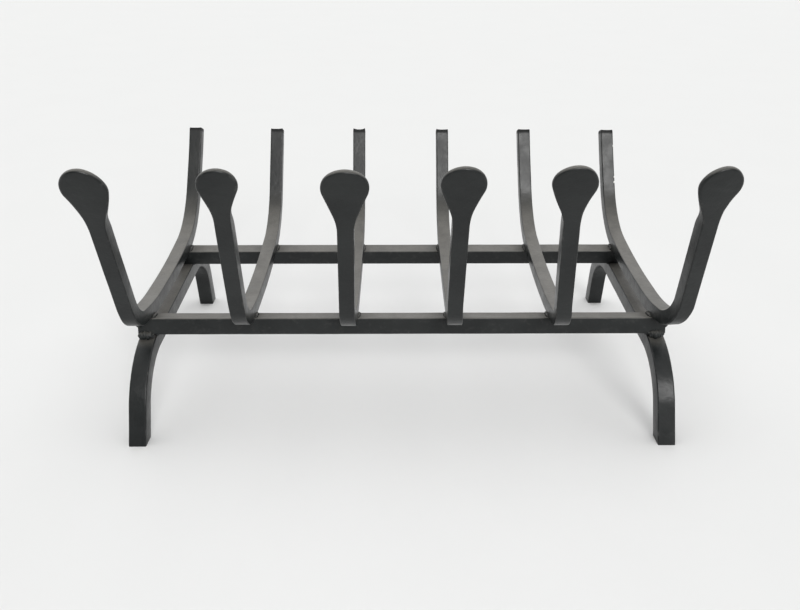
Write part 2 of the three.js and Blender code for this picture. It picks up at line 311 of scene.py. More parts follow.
@dataclass(frozen=True)
class SquareSection:
    """A rolled square bar's section with rounded corners.

    Args:
        corner_steps: Facets in a corner's quarter turn.
        side_steps: Facets from a corner to the middle of a side.
    """

    # Largest corner, as a share of half the bar; first inset past the corner, in corner radii.
    LARGEST_CORNER = 0.6
    PAST_CORNER = 1.3

    corner_steps: int = 5
    side_steps: int = 3

    def insets(self, half: float, radius: float) -> list[float]:
        """Distances in from a side face, from its surface to the bar's middle."""
        reach = min(radius, self.LARGEST_CORNER * half)
        turns = [math.pi / 2 * i / self.corner_steps for i in range(self.corner_steps + 1)]
        corner = [reach * (1 - math.cos(turn)) for turn in turns]
        first = min(self.PAST_CORNER * reach, (reach + half) / 2)
        inner = [first + (half - first) * i / self.side_steps for i in range(self.side_steps)]
        return [*corner, *inner]

    def wear(self) -> list[float]:
        """How exposed each of the insets is to knocks, from 0 to 1."""
        turns = [(i + 0.5) / (self.corner_steps + 1) for i in range(self.corner_steps + 1)]
        return [*[math.sin(math.pi * turn) for turn in turns], *[0.0] * self.side_steps]

    def outline(self, size: float, radius: float) -> tuple[list[tuple[float, float]], list[float]]:
        """The whole section of a plain bar.

        Args:
            size: Side of the square in mm.
            radius: Corner radius in mm.

        Returns:
            The points round the section, in mm, and the wear at each.
        """
        half = size / 2
        quarter = [(half - inset, corner_height(half, radius, inset), wear)
                   for inset, wear in zip(self.insets(half, radius), self.wear())]
        edge = [*quarter, (0.0, half, 0.0), *[(-x, z, wear) for x, z, wear in reversed(quarter)]]
        ring = [*edge, *[(x, -z, wear) for x, z, wear in reversed(edge)]]
        return [(x, z) for x, z, _ in ring], [wear for _, _, wear in ring]


def corner_height(half_thickness: float, radius: float, inset: float) -> float:
    """Height of a rounded face above the middle, `inset` mm in from the side."""
    short = radius - min(inset, radius)
    return half_thickness - radius + math.sqrt(max(0.0, radius * radius - short * short))


# ------------------------------------------------------------------ finishes

Socket = bpy.types.NodeSocket
Inputs = dict[str | int, object]
Colour = tuple[float, float, float]


@dataclass(frozen=True)
class Pattern:
    """A noise pattern: features to the metre, the values that it is cut to, detail and roughness."""

    scale: float
    low: float
    high: float
    detail: float = 4.0
    roughness: float = 0.55


class Graph:
    """A small helper that adds nodes to a tree and joins them."""

    def __init__(self, tree: bpy.types.NodeTree) -> None:
        """Takes the tree to add to."""
        self.tree = tree

    def feed(self, node: bpy.types.Node, inputs: Inputs) -> bpy.types.Node:
        """Links or sets inputs of a node.

        Args:
            node: The node.
            inputs: For each input, by name or number, a socket, a node whose first output is
                meant, or a value. A colour has three numbers.

        Returns:
            The same node.
        """
        for key, value in inputs.items():
            socket = node.inputs[key]
            if isinstance(value, bpy.types.Node):
                value = value.outputs[0]
            if isinstance(value, Socket):
                self.tree.links.new(value, socket)
            else:
                socket.default_value = (*value, 1.0) if socket.type == "RGBA" else value
        return node

    def add(self, kind: str, inputs: Inputs | None = None, **settings: object) -> bpy.types.Node:
        """Adds a node.

        Args:
            kind: The node's type name.
            inputs: What goes in, as for `feed`.
            **settings: Its plain properties.

        Returns:
            The new node.
        """
        node = self.tree.nodes.new(kind)
        for name, value in settings.items():
            setattr(node, name, value)
        return self.feed(node, inputs or {})

    def math(self, operation: str, first: object, second: object = 0.0, clamp: bool = False) -> Socket:
        """A math node's result on two sockets or numbers, held between 0 and 1 if clamped."""
        node = self.add("ShaderNodeMath", {0: first, 1: second}, operation=operation, use_clamp=clamp)
        return node.outputs[0]

    def scaled(self, vector: object, factor: object) -> Socket:
        """A vector times a number."""
        return self.add("ShaderNodeVectorMath", {0: vector, "Scale": factor}, operation="SCALE").outputs[0]

    def span(self, value: Socket, low: float, high: float, to_low: float = 0.0,
             to_high: float = 1.0) -> Socket:
        """Maps a value smoothly from one range to another."""
        inputs = {"Value": value, "From Min": low, "From Max": high, "To Min": to_low, "To Max": to_high}
        return self.add("ShaderNodeMapRange", inputs, interpolation_type="SMOOTHSTEP").outputs["Result"]

    def noise(self, where: Socket, scale: float, detail: float = 4.0, roughness: float = 0.55) -> Socket:
        """A noise value at a place, with `scale` features to the metre."""
        inputs = {"Vector": where, "Scale": scale, "Detail": detail, "Roughness": roughness}
        return self.add("ShaderNodeTexNoise", inputs).outputs["Fac"]

    def pattern(self, where: Socket, look: Pattern, to_low: float = 0.0, to_high: float = 1.0) -> Socket:
        """A pattern's value at a place, from `to_low` to `to_high`."""
        value = self.noise(where, look.scale, look.detail, look.roughness)
        return self.span(value, look.low, look.high, to_low, to_high)

    def blend(self, share: Socket, first: object, second: object) -> Socket:
        """Mixes two colours, each a socket or an (r, g, b) value."""
        return self.add("ShaderNodeMix", {0: share, 6: first, 7: second}, data_type="RGBA").outputs[2]


def new_material(name: str) -> tuple[bpy.types.Material, Graph, bpy.types.Node]:
    """A new material, the helper for its tree, and its shader."""
    material = bpy.data.materials.new(name)
    material.use_nodes = True
    return material, Graph(material.node_tree), material.node_tree.nodes["Principled BSDF"]


@dataclass(frozen=True)
class Chip:
    """A place where the paint is chipped off, as a layout point in mm with its radius."""

    x: float
    y: float
    z: float
    radius: float


@dataclass(frozen=True)
class BlackPaint:
    """Satin black stove paint over rolled bar, with an ash film and a painted sheen on faces that look up,
    worn edges and chips.

    Args:
        name: The material's name.
        deep: Colour where the paint is thick.
        thin: Colour where it is thin.
        clouds: Where it is thick and thin.
        gloss: Smallest and largest roughness of clean paint.
        gloss_clouds: Where it is smooth and rough.
        sheen: The paint's specular level.
        pit_depth: Depth of the pits in the rolled surface in mm.
        pits: Where they are.
        grain: Height of the paint's grain in mm.
        grain_scale: Its grains to the metre.
        dust: Colour of the ash film on faces that look up, lighter than ash alone: a painted sheen of the
            bright room on those faces.
        dust_cover: Share of that colour on a level face.
        dust_slopes: How far up a face looks where the film and its painted sheen start and where they are
            full, from 0 to 1.
        dust_patches: Soft patches of the film.
        thinnest_patch: Share of the film left between them.
        specks: Fine specks in it.
        thinnest_speck: Share left between the specks.
        dust_roughness: How much rougher the ash film makes the paint.
        bare: Colour of rubbed edges.
        wear: How much of the edges is rubbed.
        streaks: Where they are rubbed.
        torn: Colour of sheared ends.
        torn_roughness: How much rougher they are.
        chips: Places where the paint is gone.
        chipped: Colour there.
    """

    # Ragged edge of torn metal: grains to the metre and detail, depth, and the shares it is cut to.
    TORN_GRAIN = (420.0, 3.0)
    TORN_DEPTH = 0.9
    TORN_SPAN = (0.35, 0.75)
    # The same of a chip, with depth and span in its radii.
    CHIP_GRAIN = (900.0, 2.0)
    CHIP_DEPTH = 1.2
    CHIP_SPAN = (1.45, 1.75)

    name: str
    deep: Colour = (0.0052, 0.0066, 0.0068)
    thin: Colour = (0.0105, 0.0124, 0.0124)
    clouds: Pattern = Pattern(14.0, 0.35, 0.68)
    gloss: tuple[float, float] = (0.3, 0.4)
    gloss_clouds: Pattern = Pattern(55.0, 0.3, 0.7, 5.0)
    sheen: float = 0.35
    pit_depth: float = 0.09
    pits: Pattern = Pattern(170.0, 0.3, 0.62, 5.0, 0.6)
    grain: float = 0.035
    grain_scale: float = 1500.0
    # Warm grey of the ash film, made lighter as a painted sheen of the bright room on faces that look up.
    dust: Colour = (0.215, 0.205, 0.185)
    dust_cover: float = 0.56
    dust_slopes: tuple[float, float] = (0.3, 0.96)
    dust_patches: Pattern = Pattern(38.0, 0.22, 0.7, 6.0, 0.65)
    thinnest_patch: float = 0.62
    specks: Pattern = Pattern(620.0, 0.35, 0.65, 3.0)
    thinnest_speck: float = 0.8
    dust_roughness: float = 0.14
    bare: Colour = (0.105, 0.104, 0.1)
    wear: float = 0.55
    streaks: Pattern = Pattern(120.0, 0.499, 0.74, 6.0, 0.7)
    torn: Colour = (0.004, 0.0045, 0.0048)
    torn_roughness: float = 0.35
    chips: tuple[Chip, ...] = ()
    chipped: Colour = (0.72, 0.72, 0.7)

    def build(self) -> bpy.types.Material:
        """Makes the material.

        Returns:
            The finished material.
        """
        material, graph, shader = new_material(self.name)
        spot = graph.add("ShaderNodeTexCoord")
        where = spot.outputs["Object"]
        dust = self.dust_share(graph, spot)
        torn = self.torn_share(graph, where)
        colour = graph.blend(graph.pattern(where, self.clouds), self.deep, self.thin)
        # Faces that look up get the ash film's colour, lighter than ash alone as a painted sheen of the
        # bright room.
        colour = graph.blend(dust, colour, self.dust)
        colour = graph.blend(self.rubbed_share(graph, where), colour, self.bare)
        colour = graph.blend(torn, colour, self.torn)
        for chip in self.chips:
            colour = graph.blend(self.chip_share(graph, where, chip), colour, self.chipped)
        rough = graph.pattern(where, self.gloss_clouds, *self.gloss)
        rough = graph.math("ADD", rough, graph.math("MULTIPLY", dust, self.dust_roughness))
        rough = graph.math("ADD", rough, graph.math("MULTIPLY", torn, self.torn_roughness), clamp=True)
        graph.feed(shader, {
            "Base Color": colour,
            "Roughness": rough,
            "Specular IOR Level": self.sheen,
            "Normal": self.surface(graph, where),
        })
        return material

    def dust_share(self, graph: Graph, spot: bpy.types.Node) -> Socket:
        """Share of the ash film and its painted sheen: most on faces that look up, in soft patches."""
        parts = graph.add("ShaderNodeSeparateXYZ", {0: spot.outputs["Normal"]})
        upward = graph.span(parts.outputs["Z"], *self.dust_slopes)
        patches = graph.pattern(spot.outputs["Object"], self.dust_patches, self.thinnest_patch)
        specks = graph.pattern(spot.outputs["Object"], self.specks, self.thinnest_speck)
        film = graph.math("MULTIPLY", graph.math("MULTIPLY", patches, specks), upward)
        return graph.math("MULTIPLY", film, self.dust_cover, clamp=True)

    def rubbed_share(self, graph: Graph, where: Socket) -> Socket:
        """Share of rubbed paint: broken streaks along the worn edges."""
        edge = graph.add("ShaderNodeAttribute", attribute_name="worn_edge").outputs["Fac"]
        streaked = graph.math("MULTIPLY", edge, graph.pattern(where, self.streaks))
        return graph.math("MULTIPLY", streaked, self.wear)

    def torn_share(self, graph: Graph, where: Socket) -> Socket:
        """Share of torn metal: the sheared ends, with a ragged lower edge."""
        end = graph.add("ShaderNodeAttribute", attribute_name="torn_end").outputs["Fac"]
        ragged = graph.math("SUBTRACT", graph.noise(where, *self.TORN_GRAIN), 0.5)
        share = graph.math("ADD", end, graph.math("MULTIPLY", ragged, self.TORN_DEPTH))
        return graph.math("MULTIPLY", graph.span(share, *self.TORN_SPAN), end, clamp=True)

    def chip_share(self, graph: Graph, where: Socket, chip: Chip) -> Socket:
        """Share of one chip: a ragged spot round its middle."""
        middle = place(chip.x, chip.y, chip.z)
        radius = chip.radius * MM
        far = graph.add("ShaderNodeVectorMath", {0: where, 1: middle}, operation="DISTANCE").outputs["Value"]
        grain = graph.noise(where, *self.CHIP_GRAIN)
        reach = graph.math("ADD", far, graph.math("MULTIPLY", grain, self.CHIP_DEPTH * radius))
        inner, outer = self.CHIP_SPAN
        return graph.span(reach, inner * radius, outer * radius, 1.0, 0.0)

    def surface(self, graph: Graph, where: Socket) -> bpy.types.Node:
        """The bump of the rolled bar's pits under the paint's fine grain."""
        pits = graph.pattern(where, self.pits)
        low = graph.add("ShaderNodeBump", {"Distance": self.pit_depth * MM, "Height": pits})
        grains = graph.noise(where, self.grain_scale, 2.0)
        return graph.add("ShaderNodeBump", {"Distance": self.grain * MM, "Height": grains, "Normal": low})


@dataclass(frozen=True)
class PaleFloor:
    """A white paper floor, painted lighter under and round the grate: painted light over the grate's shadow.

    Args:
        near: Colour under and round the grate, lighter than far: painted light over the grate's shadow.
        far: Colour further out.
        fade: Distances from the middle over which it changes, in metres.
        mottle: Soft clouds in the paper.
        mottle_colour: Their colour.
        mottle_share: Their greatest share.
        roughness: The paper's roughness.
        sheen: Its specular level.
    """

    near: Colour = (0.69, 0.692, 0.69)
    far: Colour = (0.635, 0.639, 0.635)
    fade: tuple[float, float] = (0.22, 0.8)
    mottle: Pattern = Pattern(5.0, 0.3, 0.7, 5.0)
    mottle_colour: Colour = (0.55, 0.56, 0.56)
    mottle_share: float = 0.06
    roughness: float = 0.85
    sheen: float = 0.2

    def build(self) -> bpy.types.Material:
        """Makes the material.

        Returns:
            The finished material.
        """
        material, graph, shader = new_material("pale_floor")
        where = graph.add("ShaderNodeTexCoord").outputs["Object"]
        distance = graph.add("ShaderNodeVectorMath", {0: where}, operation="LENGTH").outputs["Value"]
        # Painted light: the floor is lighter near the middle, over the grate's shadow.
        colour = graph.blend(graph.span(distance, *self.fade), self.near, self.far)
        mottle = graph.pattern(where, self.mottle, 0.0, self.mottle_share)
        colour = graph.blend(mottle, colour, self.mottle_colour)
        inputs = {"Base Color": colour, "Roughness": self.roughness, "Specular IOR Level": self.sheen}
        graph.feed(shader, inputs)
        return material


# ------------------------------------------------------------------ geometry trees


class InputKind(Enum):
    """The socket types that the trees' named inputs use."""

    NUMBER = "NodeSocketFloat"
    WHOLE = "NodeSocketInt"
    OBJECT = "NodeSocketObject"
    MATERIAL = "NodeSocketMaterial"


class GeometryTree:
    """A Geometry Nodes tree with named inputs, and the way to run it on a mesh."""

    def __init__(self, name: str, inputs: dict[str, InputKind]) -> None:
        """Starts an empty tree.

        Args:
            name: The tree's name.
            inputs: Its named inputs, after the geometry.
        """
        self.tree = bpy.data.node_groups.new(name, "GeometryNodeTree")
        sockets = self.tree.interface
        sockets.new_socket("Geometry", in_out="INPUT", socket_type="NodeSocketGeometry")
        self.identifiers = {}
        for label, kind in inputs.items():
            socket = sockets.new_socket(label, in_out="INPUT", socket_type=kind.value)
            self.identifiers[label] = socket.identifier
        sockets.new_socket("Geometry", in_out="OUTPUT", socket_type="NodeSocketGeometry")
        self.graph = Graph(self.tree)
        self.start = self.graph.add("NodeGroupInput")
        self.end = self.graph.add("NodeGroupOutput")

    def given(self, label: str) -> Socket:
        """The socket that brings a named input in."""
        return self.start.outputs[label]

    def close(self, geometry: bpy.types.Node) -> None:
        """Ends the tree: realizes instances, sets the material and joins the output."""
        realized = self.graph.add("GeometryNodeRealizeInstances", {0: geometry})
        inputs = {"Geometry": realized, "Material": self.given("Material")}
        self.graph.feed(self.end, {0: self.graph.add("GeometryNodeSetMaterial", inputs)})

    def run(self, name: str, mesh: bpy.types.Mesh, values: dict[str, object],
            fuse: float | None = None) -> bpy.types.Mesh:
        """Runs the tree on a mesh.

        Args:
            name: Name of the result.
            mesh: The geometry that goes in.
            values: A value for each named input.
            fuse: Voxel size in mm with which overlapping lumps are fused, if they are.

        Returns:
            The result as a plain mesh.
        """
        carrier = new_object(name + "_carrier", mesh)
        modifier = carrier.modifiers.new("shape", "NODES")
        modifier.node_group = self.tree
        for label, value in values.items():
            modifier[self.identifiers[label]] = value
        if fuse is not None:
            remesh = carrier.modifiers.new("fuse", "REMESH")
            remesh.mode = "VOXEL"
            remesh.voxel_size = fuse * MM
            remesh.use_smooth_shade = True
        bpy.context.view_layer.update()
        shaped = carrier.evaluated_get(bpy.context.evaluated_depsgraph_get())
        result = bpy.data.meshes.new_from_object(shaped)
        result.name = name
        bpy.data.objects.remove(carrier)
        return result


class BarTree(GeometryTree):
    """Sweeps a bar's section along its middle line and leaves the rolled surface a little uneven."""

    def __init__(self) -> None:
        """Builds the tree."""
        super().__init__("bar_along_line", {
            "Section": InputKind.OBJECT,
            "Tilt": InputKind.NUMBER,
            "Unevenness": InputKind.NUMBER,
            "Lump Size": InputKind.NUMBER,
            "Seed": InputKind.NUMBER,
            "Material": InputKind.MATERIAL,
        })
        graph, given = self.graph, self.given
        line = graph.add("GeometryNodeMeshToCurve", {"Mesh": given("Geometry")})
        turned = graph.add("GeometryNodeSetCurveTilt", {"Curve": line, "Tilt": given("Tilt")})
        section = graph.add("GeometryNodeObjectInfo", {"Object": given("Section")})
        outline = graph.add("GeometryNodeMeshToCurve", {"Mesh": section.outputs["Geometry"]})
        swept = {"Curve": turned, "Profile Curve": outline, "Fill Caps": True}
        sweep = graph.add("GeometryNodeCurveToMesh", swept)
        scale = graph.math("DIVIDE", 1.0, given("Lump Size"))
        lumps = graph.add("ShaderNodeTexNoise", {"W": given("Seed"), "Scale": scale}, noise_dimensions="4D")
        lift = graph.math("MULTIPLY", graph.math("SUBTRACT", lumps.outputs["Fac"], 0.5), given("Unevenness"))
        offset = graph.scaled(graph.add("GeometryNodeInputNormal"), lift)
        moved = graph.add("GeometryNodeSetPosition", {"Geometry": sweep, "Offset": offset})
        self.close(graph.add("GeometryNodeSetShadeSmooth", {"Geometry": moved}))


class BeadTree(GeometryTree):
    """Lays a stack of overlapping weld puddles along a seam, thinner towards both ends."""

    FLATTENED = (1.0, 1.0, 0.58)
    SMALLEST = 0.82
    LARGEST = 1.14
    THINNING_STARTS = 0.24
    END_THINNING = 0.5

    def __init__(self) -> None:
        """Builds the tree."""
        super().__init__("weld_bead", {
            "Puddle Radius": InputKind.NUMBER,
            "Puddle Pitch": InputKind.NUMBER,
            "Unevenness": InputKind.NUMBER,
            "Seed": InputKind.WHOLE,
            "Material": InputKind.MATERIAL,
        })
        graph, given = self.graph, self.given
        line = graph.add("GeometryNodeMeshToCurve", {"Mesh": given("Geometry")})
        spacing = {"Curve": line, "Length": given("Puddle Pitch")}
        puddles = graph.add("GeometryNodeResampleCurve", spacing, mode="LENGTH")
        corners = {0: (-1.0, -1.0, -1.0), 1: (1.0, 1.0, 1.0), "Seed": given("Seed")}
        wander = graph.add("FunctionNodeRandomValue", corners, data_type="FLOAT_VECTOR")
        astray = graph.scaled(wander, given("Unevenness"))
        spread = graph.add("GeometryNodeSetPosition", {"Geometry": puddles, "Offset": astray})
        drop = graph.add("GeometryNodeMeshIcoSphere", {"Subdivisions": 3, "Radius": given("Puddle Radius")})
        tangent = graph.add("GeometryNodeInputTangent")
        along = graph.add("FunctionNodeAlignRotationToVector", {"Vector": tangent}, axis="Z")
        sizes = {2: self.SMALLEST, 3: self.LARGEST, "Seed": given("Seed")}
        swell = graph.add("FunctionNodeRandomValue", sizes, data_type="FLOAT")
        along_line = graph.add("GeometryNodeSplineParameter").outputs["Factor"]
        from_middle = graph.math("ABSOLUTE", graph.math("SUBTRACT", along_line, 0.5))
        thinned = graph.span(from_middle, self.THINNING_STARTS, 0.5, 0.0, self.END_THINNING)
        full = graph.math("SUBTRACT", 1.0, thinned)
        scale = graph.scaled(self.FLATTENED, graph.math("MULTIPLY", swell.outputs[1], full))
        self.close(graph.add("GeometryNodeInstanceOnPoints", {
            "Points": spread,
            "Instance": drop,
            "Rotation": along,
            "Scale": scale,
        }))


# ------------------------------------------------------------------ sub-assemblies


class Piece:
    """What every finished piece has in common."""

    @staticmethod
    def finish(name: str, mesh: bpy.types.Mesh, material: bpy.types.Material, node: str, slot: str) -> None:
        """Dresses a mesh and puts it in a CAD node's place.

        Args:
            name: The piece's name.
            mesh: Its finished mesh.
            material: Its finish.
            node: The CAD node that it stands for.
            slot: The record's material slot; not used.
        """
        mesh.materials.clear()
        mesh.materials.append(material)
        piece = new_object(name, mesh)
        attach(piece, BODY)
        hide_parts(node)
        log.info("%s: %d faces", name, len(mesh.polygons))


@dataclass(frozen=True)
class HandBend:
    """How one log bar differs from its neighbours.

    Args:
        sidestep: Sideways set of the arm where it leaves the bend, in mm.
        drift: Sideways set of the head's tip, in mm.
        rise: Height of the tip over the others, in mm.
        reach: Extra reach of the front bend, in mm.
        bend_radius: Radius of the front bend's middle line, in mm.
        twist: Turn of the arm about its own line, in degrees, its left side to the front.
        head_radius: Radius of the head, in mm.
        head_tilt: Turn of the head in its own plane, in degrees, to the right.
        head_flat: How much one side of the head is beaten flat, from 0 to 1.
        flat_towards: Where that side is, in degrees to the right of the tip.
        post_drift: Sideways set of the rear post's end, in mm.
        post_rise: Height of the rear post's end over the others, in mm.
        shear_lip: Height of the sheared end's raised corners, in mm.
    """

    sidestep: float
    drift: float
    rise: float
    reach: float
    bend_radius: float = 40.0
    twist: float = 0.0
    head_radius: float = 26.5
    head_tilt: float = 0.0
    head_flat: float = 0.0
    flat_towards: float = 0.0
    post_drift: float = 0.0
    post_rise: float = 0.0
    shear_lip: float = 0.8


@dataclass
class LogBar(Piece):
    """One log bar: flattened head, front arm, bed and rear post with a sheared end."""

    # The outline's first row, in degrees above the head's middle: just short of the tip.
    FIRST_TURN = 88.6
    # Rows before the sheared end: distance from it in mm, pinch of the section, share of torn metal.
    PINCHES = ((2.4, 1.0, 0.9), (1.0, 0.985, 1.0), (0.3, 0.965, 1.0))
    PINCH_REACH = 3.0
    # Rows of the torn face: share of the section, and how far they are sunk in mm.
    TORN_ROWS = ((0.95, 0.0), (0.88, 0.25), (0.7, 0.6), (0.45, 0.8), (0.18, 0.85))
    # Sizes of the ripples in mm.
    ROLLED, HAMMERED, SWAY, LIP, TORN = 34.0, 9.0, 60.0, 7.0, 3.2
    # How widely a flattened side is spread over the head, and how worn the thin sides are.
    FLAT_SPREAD = 2.4
    SIDE_WEAR = 0.4

    index: int
    hand: HandBend
    paint: bpy.types.Material
    layout: Layout = LAYOUT
    section: SquareSection = SquareSection()
    corner_radius: float = 1.4
    front_reach: float = 59.0
    arm_lean: float = 22.0
    rear_bend_radius: float = 104.0
    post_lean: float = 23.0
    post_top: float = 307.0
    head_top: float = 380.5
    head_thickness: float = 7.0
    head_edge_radius: float = 3.0
    head_crown: float = 0.7
    neck_flare: float = 20.0
    neck_fillet: float = 75.0
    head_flat_length: float = 45.0
    head_taper_length: float = 50.0
    tilt_reach: float = 3.2
    sidestep_overlap: float = 0.4
    hammer_depth: float = 0.28
    rolled_depth: float = 0.16
    torn_reach: float = 8.0
    arm_step: float = 2.4
    outline_rows: int = 34
    rows: list[np.ndarray] = field(default_factory=list)
    worn: list[list[float]] = field(default_factory=list)
    cut: list[list[float]] = field(default_factory=list)

    @property
    def half(self) -> float:
        """Half the bar's thickness."""
        return self.layout.log_bar / 2

    @property
    def head_radius(self) -> float:
        """Radius of the flattened head."""
        return self.hand.head_radius

    def front(self) -> tuple[list[Station], Station, float]:
        """The middle line in front of the front crossbar.

        Returns:
            The stations from the bottom of the arm to the crossbar, the first of them, and the
            arm's straight length up to the tip of the head.
        """
        contact = self.layout.bed[0]
        arm_slope = self.arm_lean - 90.0
        turn = math.radians(self.layout.front_slope - arm_slope)
        run = (self.front_reach + self.hand.reach) / math.cos(contact.slope)
        run -= (self.hand.bend_radius + self.half) * math.tan(turn / 2)
        step = self.layout.path_step
        ahead = straight(contact, -run, step)
        ahead += bend(ahead[-1], self.hand.bend_radius, arm_slope, 1, step)
        foot = ahead[-1]
        drop = self.half * math.cos(foot.slope)
        length = (self.head_top + self.hand.rise - foot.z + drop) / math.cos(math.radians(self.arm_lean))
        return ahead[::-1], foot, length

    def rear(self) -> list[Station]:
        """The middle line behind the rear crossbar, up to the sheared end."""
        step = self.layout.path_step
        behind = bend(self.layout.bed[-1], self.rear_bend_radius, 90.0 - self.post_lean, 1, step)
        top = behind[-1]
        end = self.post_top + self.hand.post_rise - self.half * math.cos(top.slope)
        return [*behind, *straight(top, (end - top.z) / math.sin(top.slope), step)]

    def head_half_width(self, below_tip: float) -> float:
        """Half the head's or neck's width, `below_tip` mm below the tip."""
        flare = math.radians(self.neck_flare)
        over = self.head_radius - below_tip
        leave = -self.head_radius * math.sin(flare)
        if over >= leave:
            return math.sqrt(max(0.0, self.head_radius**2 - over**2))
        widest = self.head_radius * math.cos(flare)
        meets = leave - (widest - self.half) / math.tan(flare)
        start = meets - self.neck_fillet * math.tan(flare / 2)
        end = start + self.neck_fillet * math.sin(flare)
        if over >= end:
            return widest - (leave - over) * math.tan(flare)
        if over >= start:
            return self.half + self.neck_fillet - math.sqrt(self.neck_fillet**2 - (over - start) ** 2)
        return self.half

    def edge_distance(self, across: float, below_tip: float, half_width: float) -> float:
        """Distance from a point of the head's face to its outline."""
        flare = math.radians(self.neck_flare)
        over = self.head_radius - below_tip
        if over >= -self.head_radius * math.sin(flare):
            return self.head_radius - math.hypot(across, over)
        return (half_width - abs(across)) * math.cos(flare if half_width > self.half + 1.0 else 0.0)

    def sideways(self, up: float, bend_up: float, length: float) -> float:
        """How far the bar stands to the side, `up` mm above the top of the bend."""
        share = smooth(bend_up, -bend_up * self.sidestep_overlap, up)
        along = max(0.0, up) / length
        return self.hand.sidestep * share + (self.hand.drift - self.hand.sidestep) * along

    def arm_heights(self, length: float) -> list[float]:
        """Distances below the tip of the arm's rows, close together where the outline is round."""
        flare = math.radians(self.neck_flare)
        turns = np.linspace(math.radians(self.FIRST_TURN), -flare, self.outline_rows)
        round_part = [self.head_radius * (1 - math.sin(turn)) for turn in turns]
        rest = np.linspace(round_part[-1], length, math.ceil((length - round_part[-1]) / self.arm_step))
        return [*round_part, *rest[1:-1].tolist()]

    def beaten_head(self, across: float, over: float, tilt: float) -> tuple[float, float]:
        """Where the hammer has left a point of the head's outline.

        Args:
            across: The point's distance to the right of the head's middle, in mm.
            over: Its distance above the head's middle, in mm.
            tilt: Turn of the head to the right, in radians.

        Returns:
            The new distances across and over.
        """
        towards = math.radians(self.hand.flat_towards)
        reach = across * math.sin(towards) + over * math.cos(towards)
        dent = self.hand.head_flat * max(0.0, reach) ** 2 / (self.FLAT_SPREAD * self.head_radius)
        across -= dent * math.sin(towards)
        over -= dent * math.cos(towards)
        turned = across * math.cos(tilt) + over * math.sin(tilt)
        return turned, over * math.cos(tilt) - across * math.sin(tilt)

    def add_row(self, at: Station, x: float, half_width: float = 0.0, inset_of_back: float = 0.0,
                below_tip: float | None = None, tilt: float = 0.0, twist: float = 0.0) -> None:
        """Adds the section at one station.

        Args:
            at: The station of the bar's middle line.
            x: Sideways place of the section's middle.
            half_width: Half the section's width, or 0 for the plain bar.
            inset_of_back: How much thinner than the bar it is, taken off the inside.
            below_tip: Distance below the tip of the head, on the arm only.
            tilt: Turn of the head about its middle, in radians, to the right.
            twist: Turn of the section about the bar's line, in radians, its left side to the front.
        """
        half_width = half_width or self.half
        thickness = self.layout.log_bar - inset_of_back
        beaten = inset_of_back / (self.layout.log_bar - self.head_thickness)
        radius = self.corner_radius + (self.head_edge_radius - self.corner_radius) * beaten
        middle = -inset_of_back / 2
        insets = self.section.insets(half_width, radius)
        right = [(half_width - inset, wear) for inset, wear in zip(insets, self.section.wear())]
        edge = [*right, (0.0, 0.0), *[(-across, wear) for across, wear in reversed(right)]]
        inside: list[tuple[float, float, float, float]] = []
        for across, wear in edge:
            distance = half_width - abs(across)
            if below_tip is not None:
                distance = self.edge_distance(across, below_tip, half_width)
            height = corner_height(thickness / 2, radius, distance)
            height += self.head_crown * beaten * min(1.0, max(0.0, distance) / self.head_radius)
            inside.append((across, middle + height, middle - height, wear))
        ring = [(across, high, wear) for across, high, _, wear in inside]
        ring.append((inside[-1][0], middle, self.SIDE_WEAR))
        ring += [(across, low, wear) for across, _, low, wear in reversed(inside)]
        ring.append((inside[0][0], middle, self.SIDE_WEAR))
        points = []
        for across, off, _ in ring:
            spot = at
            if below_tip is not None:
                over = self.head_radius - below_tip
                across, beaten_over = self.beaten_head(across, over, tilt)
                spot = at.ahead(over - beaten_over)
            y, z = spot.beside(across * math.sin(twist) + off * math.cos(twist))
            points.append((x + across * math.cos(twist) - off * math.sin(twist), y, z))
        self.rows.append(np.array([self.uneven(point, beaten) for point in points]))
        self.worn.append([wear for _, _, wear in ring])
        self.cut.append([0.0] * len(ring))

    def uneven(self, point: tuple[float, float, float], beaten: float) -> tuple[float, float, float]:
        """A point moved by the hammering on the head and the waviness of the rolled bar."""
        seed = 3.1 * self.index + 0.7
        rolled = self.rolled_depth * ripple(point, self.ROLLED, seed)
        hammered = beaten * self.hammer_depth * ripple(point, self.HAMMERED, seed + 40.0)
        sway = self.rolled_depth * ripple(point, self.SWAY, seed + 90.0)
        return (point[0] + sway, point[1] + rolled + hammered, point[2] + 0.4 * rolled)

    def add_sheared_end(self, end: Station, x: float) -> None:
        """Adds the rough end of the post: pinched edges, raised corners and a torn face."""
        full = self.rows.pop()
        worn = self.worn.pop()
        self.cut.pop()
        along = np.array(end.along)
        centre = np.array([x, end.y, end.z])
        offset = full - centre
        shares = np.abs(offset[:, 0]) / self.half
        seed = 5.7 * self.index + 11.0
        lip = np.array([self.hand.shear_lip * share**3 * (0.75 + 0.6 * ripple(tuple(point), self.LIP, seed))
                        for share, point in zip(shares, full)])
        for back, pinch, mark in self.PINCHES:
            lipped = np.outer(lip * (1 - back / self.PINCH_REACH), along)
            self.add_end_row(centre + offset * pinch + lipped - along * back, worn, mark)
        for share, sink in self.TORN_ROWS:
            torn = np.array([0.5 * ripple(tuple(point * share), self.TORN, seed + 5.0) for point in offset])
            row = centre + offset * share + np.outer(lip * share**2 - sink + torn * (1 - share), along)
            self.add_end_row(row, worn, 1.0)

    def add_end_row(self, row: np.ndarray, worn: list[float], mark: float) -> None:
        """Adds one row of the sheared end, with its share of torn metal."""
        self.rows.append(row)
        self.worn.append([wear * (1 - mark) for wear in worn])
        self.cut.append([mark] * len(worn))

